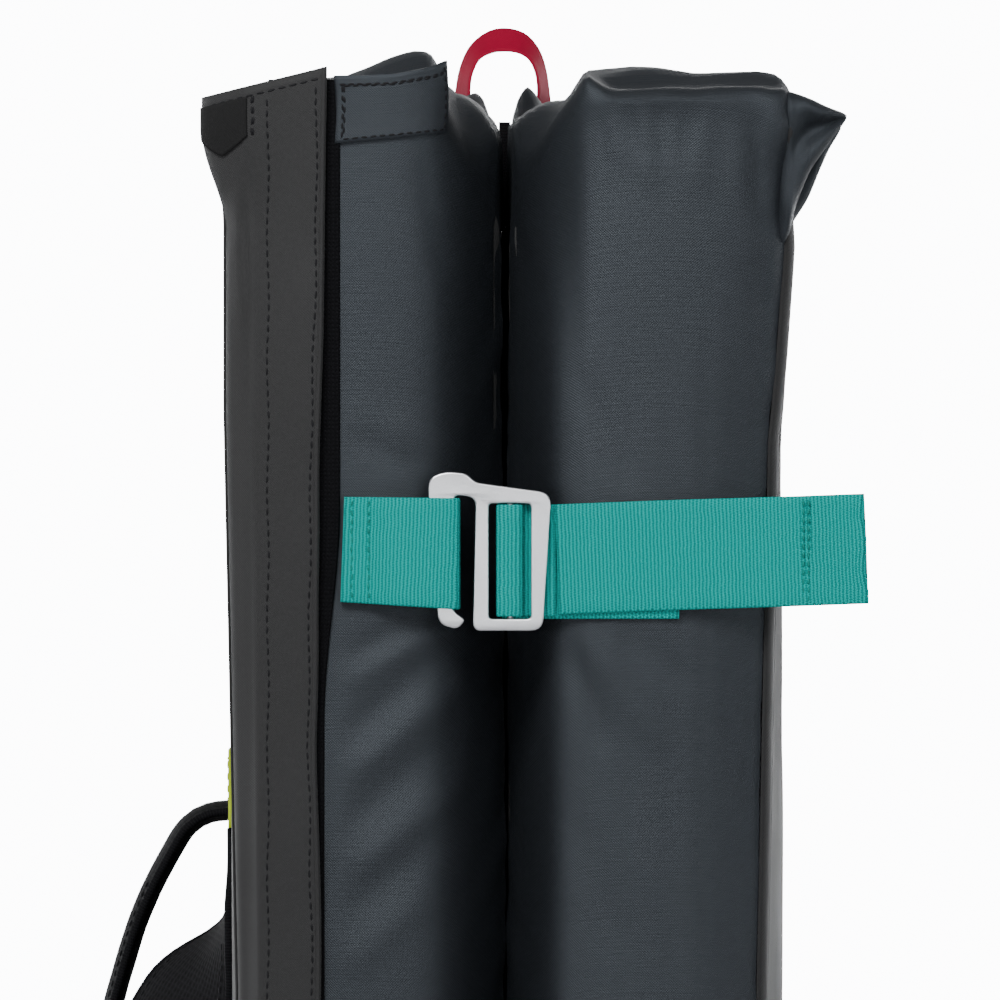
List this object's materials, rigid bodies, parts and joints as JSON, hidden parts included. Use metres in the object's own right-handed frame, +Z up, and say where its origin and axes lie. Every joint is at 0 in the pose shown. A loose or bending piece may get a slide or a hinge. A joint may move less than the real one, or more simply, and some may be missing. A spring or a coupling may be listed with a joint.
{
  "type": "folded bouldering crash pad",
  "caption": "Foam bouldering crash pad folded upright, closed by webbing straps with flat metal hooks, with a foam-access flap, hang loop, carry handle and backpack harness",
  "frame": {"origin": "bottom centre of the whole object's bounding box, harness and strap tails included, standing on its lower edge", "axes": "+Z up; X across the folded thickness, harness at -X and lid half at +X; -Y faces the closure side with the hooks and flap, +Y the fold"},
  "size_m": [0.2862, 0.683, 1.0245],
  "materials": {
    "outer_fabric": "matt heavy coated nylon, fine weave",
    "side_fabric": "coated ripstop nylon with a soft blue-grey sheen",
    "landing_fabric": "matt abrasion-resistant nylon",
    "firm_foam": "closed-cell foam",
    "soft_foam": "open-cell foam",
    "hook_and_loop": "hook-and-loop tape",
    "closure_webbing": "ribbed teal webbing",
    "alloy": "tumbled satin aluminium",
    "hang_loop_webbing": "smooth crimson webbing",
    "root_patch_webbing": "lime webbing",
    "black_webbing": "ribbed black webbing",
    "pad_mesh": "black spacer mesh over foam",
    "black_plastic": "moulded acetal"
  },
  "bodies": {
    "harness_half": {"harness_gusset": "side_fabric", "harness_outer_panel": "outer_fabric", "harness_landing_panel": "landing_fabric", "harness_base_foam": "firm_foam", "harness_core_foam": "soft_foam", "harness_firm_foam": "firm_foam", "fold_piping": "black_webbing", "harness_fold_tape": "black_webbing", "loop_tape": "hook_and_loop", "top_tab": "outer_fabric", "near_root_patch": "root_patch_webbing", "far_root_patch": "root_patch_webbing", "near_anchor_tab": "outer_fabric", "far_anchor_tab": "outer_fabric", "upper_catch_loop": "closure_webbing", "lower_catch_loop": "closure_webbing"},
    "lid_half": {"lid_gusset": "side_fabric", "lid_outer_panel": "outer_fabric", "lid_landing_panel": "landing_fabric", "lid_base_foam": "firm_foam", "lid_core_foam": "soft_foam", "lid_firm_foam": "firm_foam", "lid_fold_tape": "black_webbing", "lid_corner_ear": "side_fabric", "upper_strap_base": "closure_webbing", "lower_strap_base": "closure_webbing", "lower_handle_tab": "black_webbing", "upper_handle_tab": "black_webbing"},
    "flap": {"closure_flap": "outer_fabric", "hook_tape": "hook_and_loop", "flap_corner_patch": "outer_fabric"},
    "upper_hook_assembly": {"upper_hook": "alloy", "upper_strap_turn": "closure_webbing"},
    "lower_hook_assembly": {"lower_hook": "alloy", "lower_strap_turn": "closure_webbing"},
    "upper_tail": {"upper_strap_tail": "closure_webbing"},
    "lower_tail": {"lower_strap_tail": "closure_webbing"},
    "near_shoulder_strap": {"near_shoulder_pad": "pad_mesh", "near_ladder_lock": "black_plastic"},
    "far_shoulder_strap": {"far_shoulder_pad": "pad_mesh", "far_ladder_lock": "black_plastic"},
    "near_adjuster_web": {"near_shoulder_web": "black_webbing"},
    "far_adjuster_web": {"far_shoulder_web": "black_webbing"},
    "near_hip_wing": {"near_hip_web": "black_webbing", "hip_buckle_socket": "black_plastic"},
    "far_hip_wing": {"far_hip_web": "black_webbing", "hip_buckle_plug": "black_plastic"},
    "handle": {"carry_handle": "black_webbing", "handle_grip": "pad_mesh"},
    "top_loop": {"hang_loop": "hang_loop_webbing"}
  },
  "joints": [
    {"name": "fold_open", "type": "hinge", "parent": "harness_half", "child": "lid_half", "pos_m": [0.01393, 0.3395, 0.5], "axis": [0, 0, 1], "range_deg": [0, 180]},
    {"name": "flap_open", "type": "hinge", "parent": "harness_half", "child": "flap", "pos_m": [-0.08467, -0.2978, 0.5], "axis": [0, 0, 1], "range_deg": [-150, 0]},
    {"name": "upper_hook_release", "type": "hinge", "parent": "lid_half", "child": "upper_hook_assembly", "pos_m": [0.03243, -0.31255, 0.8315], "axis": [0, 0, 1], "range_deg": [0, 60]},
    {"name": "upper_tail_swing", "type": "hinge", "parent": "lid_half", "child": "upper_tail", "pos_m": [0.03253, -0.31255, 0.8315], "axis": [0, 0, 1], "range_deg": [-70, 0]},
    {"name": "lower_hook_release", "type": "hinge", "parent": "lid_half", "child": "lower_hook_assembly", "pos_m": [0.03243, -0.31255, 0.1685], "axis": [0, 0, 1], "range_deg": [0, 60]},
    {"name": "lower_tail_swing", "type": "hinge", "parent": "lid_half", "child": "lower_tail", "pos_m": [0.03253, -0.31255, 0.1685], "axis": [0, 0, 1], "range_deg": [-70, 0]},
    {"name": "near_strap_lift", "type": "hinge", "parent": "harness_half", "child": "near_shoulder_strap", "pos_m": [-0.08457, -0.048, 0.735], "axis": [0, 1, 0], "range_deg": [0, 4]},
    {"name": "far_strap_lift", "type": "hinge", "parent": "harness_half", "child": "far_shoulder_strap", "pos_m": [-0.08407, 0.076, 0.744], "axis": [0, 1, 0], "range_deg": [0, 4]},
    {"name": "near_web_swing", "type": "hinge", "parent": "harness_half", "child": "near_adjuster_web", "pos_m": [-0.08627, -0.087, 0.336], "axis": [0, 1, 0], "range_deg": [-12, 0]},
    {"name": "far_web_swing", "type": "hinge", "parent": "harness_half", "child": "far_adjuster_web", "pos_m": [-0.08627, 0.115, 0.336], "axis": [0, 1, 0], "range_deg": [-12, 0]},
    {"name": "near_hip_swing", "type": "hinge", "parent": "harness_half", "child": "near_hip_wing", "pos_m": [-0.08377, -0.1625, 0.3], "axis": [0, 0, 1], "range_deg": [0, 70]},
    {"name": "far_hip_swing", "type": "hinge", "parent": "harness_half", "child": "far_hip_wing", "pos_m": [-0.08377, 0.1905, 0.3], "axis": [0, 0, 1], "range_deg": [-70, 0]},
    {"name": "handle_swing", "type": "hinge", "parent": "lid_half", "child": "handle", "pos_m": [0.06193, -0.3115, 0.505], "axis": [0, 0, 1], "range_deg": [-15, 15]},
    {"name": "loop_tilt", "type": "hinge", "parent": "harness_half", "child": "top_loop", "pos_m": [0.01393, 0.3315, 0.9865], "axis": [1, 0, 0], "range_deg": [-30, 30], "stiffness_Nm_per_rad": 0.02}
  ],
  "couplings": [
    {"joint": "near_web_swing", "follows": "near_strap_lift", "ratio": -3},
    {"joint": "far_web_swing", "follows": "far_strap_lift", "ratio": -3}
  ]
}
